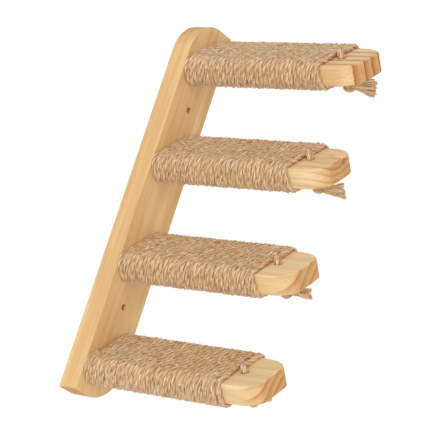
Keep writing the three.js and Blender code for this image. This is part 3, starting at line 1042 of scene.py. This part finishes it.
def pine_rings(graph, rings, place, own, seed, knot):
    """How much late wood there is, from 0 to 1 in the darkest line, and the knot's shade."""
    half = (0.5, 0.5, 0.5)
    drift = graph.vector("SUBTRACT", graph.noise(place, (45, 220, 45), 1.5)["Color"], half)
    waver = graph.vector("SUBTRACT", graph.noise(place, (9, 60, 9), 1.0)["Color"], half)
    drift = graph.vector("MULTIPLY", drift, (5, 0, 5))
    waver = graph.vector("MULTIPLY", waver, (1.2, 0, 1.2))
    bent = graph.vector("ADD", own, graph.vector("ADD", drift, waver))
    pith_x, pith_z = rings["pith"]
    flat = graph.vector("MULTIPLY", graph.vector("SUBTRACT", bent, (pith_x, 0, pith_z)), (1, 0, 1))
    radius = graph.add("ShaderNodeVectorMath", {0: flat}, operation="LENGTH").outputs["Value"]
    shade = 0.0
    if knot:
        radius, shade = branch_knot(graph, knot, bent, radius, rings["width"])
    count = graph.math("ADD", graph.math("DIVIDE", radius, rings["width"]), rings["shift"])
    ring = graph.math("ADD", graph.math("FLOOR", count), seed * 3.7)
    each = graph.add("ShaderNodeTexWhiteNoise", {"W": ring}, noise_dimensions="1D")
    each = graph.remap(each.outputs["Value"], 0, 1, rings["weakest"], 1.0)
    black, white = (0, 0, 0, 1), (1, 1, 1, 1)
    begins = rings["late"]
    profile = [
        (0.0, (0.12, 0.12, 0.12, 1)),
        (0.05, black),
        (begins, black),
        (begins + (0.94 - begins) * 0.5, (0.3, 0.3, 0.3, 1)),
        (0.94, white),
    ]
    return graph.math("MULTIPLY", graph.ramp(graph.math("FRACT", count), profile), each), shade


def pine_material(name, rings, tones, seed, knot=None, turn=None):
    """Planed pine. Rings lie round the pith, which runs along y in the board's own frame.

    The tones are early wood in two shades, late wood and the tint of the end grain. The turn
    brings the object's axes to the board's own frame where the two differ.
    """
    graph = Graph(name)
    coordinates = graph.add("ShaderNodeTexCoord").outputs
    place, normal = coordinates["Object"], coordinates["Normal"]
    if turn:
        place = graph.turned(place, turn)
        normal = graph.turned(normal, turn)
    own = graph.vector("MULTIPLY", place, MM_PER_METRE)
    place = graph.vector("ADD", own, (0, seed * 731.0, 0))
    facing = graph.add("ShaderNodeSeparateXYZ", {0: normal}).outputs["Y"]
    end_grain = graph.math("POWER", graph.math("ABSOLUTE", facing), 2.0)

    late, knot_shade = pine_rings(graph, rings, place, own, seed, knot)
    strength = graph.remap(end_grain, 0, 0.35, rings["side"], rings["end"])
    late = graph.math("MULTIPLY", late, strength, clamp=True)
    streak = graph.noise(place, (0.55, 34, 0.55), 3.0, 0.6)["Fac"]
    flame = graph.noise(place, (2.6, 70, 2.6), 2.0, 0.6)["Fac"]
    broad = graph.noise(place, (12, 170, 12), 2.0)["Fac"]
    along = graph.add("ShaderNodeSeparateXYZ", {0: own}).outputs["Y"]
    # A random warm tone, plus painted shade: the tone is painted warmer and darker with each mm
    # along y, towards the backboard's upper end.
    warm_tone_and_painted_shade = graph.remap(broad, 0.35, 0.65, 0, 1)
    warm_tone_and_painted_shade = graph.math("MULTIPLY_ADD", along, rings["painted_shade_along_y"], warm_tone_and_painted_shade, clamp=True)
    color = graph.mix(warm_tone_and_painted_shade, tones["early"], tones["warm"])
    color = graph.mix(graph.remap(flame, 0.5, 0.75, 0, rings["flame"]), color, tones["late"])
    color = graph.mix(late, color, tones["late"])
    light = graph.remap(streak, 0.25, 0.75, 0.94, 1.05)
    color = graph.mix(1.0, color, graph.grey(light), "MULTIPLY")
    color = graph.mix(knot_shade, color, srgb(140, 82, 42))

    pores = graph.noise(place, (0.8, 4, 0.8), 2.0)["Fac"]
    end_light = graph.remap(pores, 0.3, 0.7, 0.9, 1.06)
    end_color = graph.mix(1.0, color, tones["end"], "MULTIPLY")
    end_color = graph.mix(1.0, end_color, graph.grey(end_light), "MULTIPLY")
    color = graph.mix(end_grain, color, end_color)

    height = graph.math("MULTIPLY_ADD", late, 0.35, graph.math("MULTIPLY", streak, 0.6))
    bump = graph.add("ShaderNodeBump", {"Strength": 0.35, "Distance": 0.00012, "Height": height})
    rough = graph.remap(streak, 0.3, 0.7, 0.5, 0.62)
    graph.shine(Base_Color=color, Roughness=rough, Normal=bump.outputs["Normal"])
    graph.shine(Specular_IOR_Level=0.35)
    return graph.material


def jute_material():
    """Twisted jute: pale and dark fibres drawn along the strands, with painted shade between them
    and between the yarns.
    """
    graph = Graph("jute")
    fibre = graph.add("ShaderNodeAttribute", attribute_name="fibre").outputs["Vector"]
    crest = graph.add("ShaderNodeAttribute", attribute_name="crest").outputs["Fac"]
    yarn = graph.noise(fibre, (0.85, 0.85, 5.5), 1.0)["Fac"]
    fine = graph.noise(fibre, (0.3, 0.3, 6), 3.0, 0.6)["Fac"]
    tone = graph.noise(fibre, (9, 9, 46), 2.0)["Fac"]
    yarns = graph.remap(yarn, 0.32, 0.68, 0, 1)
    fines = graph.remap(fine, 0.3, 0.7, 0, 1)
    fibres = graph.math("MULTIPLY_ADD", yarns, 0.65, graph.math("MULTIPLY", fines, 0.35))
    ridge = graph.add("ShaderNodeAttribute", attribute_name="ridge").outputs["Fac"]
    # Painted shade: darker in the grooves between strands (crest) and between yarns (ridge). On
    # loose fibres and tails these attributes hold a random tone per fibre.
    painted_groove_shade_and_fibre_tone = graph.math("MULTIPLY_ADD", crest, 0.16, graph.math("MULTIPLY", ridge, 0.26))
    factor = graph.math("MULTIPLY_ADD", fibres, 0.58, painted_groove_shade_and_fibre_tone)
    # The ramp's dark end is painted shade in the grooves; its near-white end is partly a painted
    # highlight on crests and ridges.
    stops = [
        (0.14, srgb(114, 66, 26)),
        (0.35, srgb(188, 141, 88)),
        (0.57, srgb(234, 200, 150)),
        (0.78, srgb(255, 250, 230)),
    ]
    color = graph.ramp(factor, stops)
    warm = graph.mix(graph.remap(tone, 0.35, 0.65, 0, 1), srgb(255, 247, 236), srgb(246, 230, 216))
    color = graph.mix(1.0, color, warm, "MULTIPLY")
    height = graph.math("MULTIPLY_ADD", yarns, 0.7, graph.math("MULTIPLY", fines, 0.3))
    bump = graph.add("ShaderNodeBump", {"Strength": 0.9, "Distance": 0.0004, "Height": height})
    rough = graph.remap(fine, 0.3, 0.7, 0.36, 0.54)
    graph.shine(Base_Color=color, Roughness=rough, Normal=bump.outputs["Normal"])
    graph.shine(Specular_IOR_Level=0.8, Sheen_Weight=0.2, Sheen_Roughness=0.4)
    return graph.material


def steel_material():
    """Zinc plated steel with fine drawn marks and dull patches."""
    graph = Graph("zinc_steel")
    place = graph.add("ShaderNodeTexCoord").outputs["Object"]
    place = graph.vector("MULTIPLY", place, MM_PER_METRE)
    drawn = graph.noise(place, (0.15, 3.0, 0.15), 2.0)["Fac"]
    patches = graph.remap(graph.noise(place, (1.6, 1.6, 1.6), 2.0)["Fac"], 0.35, 0.65, 0, 1)
    color = graph.mix(patches, srgb(156, 152, 148), srgb(182, 178, 174))
    rough = graph.remap(drawn, 0.3, 0.7, 0.34, 0.5)
    bump = graph.add("ShaderNodeBump", {"Strength": 0.2, "Distance": 0.00003, "Height": drawn})
    graph.shine(Base_Color=color, Metallic=1.0, Roughness=rough, Normal=bump.outputs["Normal"])
    return graph.material


# ---------------- floor, light and camera


def seen_directly(tree):
    """1 for what the camera sees straight, in a reflection or through glass, else 0."""
    rays = tree.nodes.new("ShaderNodeLightPath").outputs
    total = rays["Is Camera Ray"]
    for name in ("Is Glossy Ray", "Is Transmission Ray"):
        larger = tree.nodes.new("ShaderNodeMath")
        larger.operation = "MAXIMUM"
        tree.links.new(total, larger.inputs[0])
        tree.links.new(rays[name], larger.inputs[1])
        total = larger.outputs[0]
    return total


def make_floor():
    """A wide pale floor, well below the stair. What it is lit by shows its shadows."""
    shape = bmesh.new()
    bmesh.ops.create_grid(shape, x_segments=8, y_segments=8, size=FLOOR_SIZE / 2 * MM)
    mesh = bpy.data.meshes.new("floor")
    shape.to_mesh(mesh)
    shape.free()
    graph = Graph("pale_floor")
    place = graph.add("ShaderNodeTexCoord").outputs["Object"]
    mottle = graph.add("ShaderNodeTexNoise", {"Vector": place, "Scale": 3.0}).outputs["Fac"]
    color = graph.mix(mottle, srgb(243, 243, 243), srgb(247, 247, 247))
    graph.shine(Base_Color=color, Roughness=0.9, Specular_IOR_Level=0.1)
    graph.shine(Emission_Color=(1, 1, 1, 1))
    lifted = graph.math("MULTIPLY", seen_directly(graph.tree), FLOOR_GLOW)
    graph.feed(graph.shader.inputs["Emission Strength"], lifted)
    floor = new_object("floor", mesh, graph.material)
    floor.location = (0, 0, FLOOR_HEIGHT * MM)


def light_world(strength):
    world = bpy.data.worlds.new("studio")
    bpy.context.scene.world = world
    world.use_nodes = True
    tree = world.node_tree
    tree.nodes.clear()
    lit = tree.nodes.new("ShaderNodeBackground")
    lit.inputs["Strength"].default_value = strength
    shown = tree.nodes.new("ShaderNodeBackground")
    shown.inputs["Strength"].default_value = 1.0
    for background in (lit, shown):
        background.inputs["Color"].default_value = (1, 1, 1, 1)
    mix = tree.nodes.new("ShaderNodeMixShader")
    tree.links.new(seen_directly(tree), mix.inputs["Fac"])
    tree.links.new(lit.outputs[0], mix.inputs[1])
    tree.links.new(shown.outputs[0], mix.inputs[2])
    output = tree.nodes.new("ShaderNodeOutputWorld")
    tree.links.new(mix.outputs[0], output.inputs["Surface"])


def add_sun(name, comes_from, strength, softness_degrees):
    data = bpy.data.lights.new(name, "SUN")
    data.energy = strength
    data.angle = math.radians(softness_degrees)
    sun = bpy.data.objects.new(name, data)
    bpy.context.scene.collection.objects.link(sun)
    sun.rotation_mode = "QUATERNION"
    sun.rotation_quaternion = Vector(comes_from).to_track_quat("Z", "Y")
    sun.location = Vector(comes_from)


def add_camera():
    data = bpy.data.cameras.new("camera")
    data.lens = CAMERA_LENS
    data.sensor_width = SENSOR_WIDTH
    data.clip_start = 0.05
    data.clip_end = 100
    camera = bpy.data.objects.new("camera", data)
    bpy.context.scene.collection.objects.link(camera)
    place, aim = Vector(CAMERA_PLACE) * MM, Vector(CAMERA_AIM) * MM
    look = (aim - place).to_track_quat("-Z", "Y")
    roll = Matrix.Rotation(math.radians(CAMERA_ROLL), 4, "Z")
    camera.matrix_world = Matrix.Translation(place) @ look.to_matrix().to_4x4() @ roll
    bpy.context.scene.camera = camera


# ---------------- scene

add_camera()
make_floor()
light_world(WORLD_LIGHT)
for sun in SUNS:
    add_sun(*sun)
bpy.context.scene.view_settings.view_transform = "Standard"

jute = jute_material()
steel = steel_material()
make_backboard()
for step_number in steps():
    make_step_board(step_number)
    line, normals_out = make_winding(step_number, jute)
    make_fuzz(step_number, line, normals_out, jute)
    make_knot(step_number, jute)
    for staple_side in STAPLES:
        make_staple(step_number, staple_side, steel)
make_screws(steel)
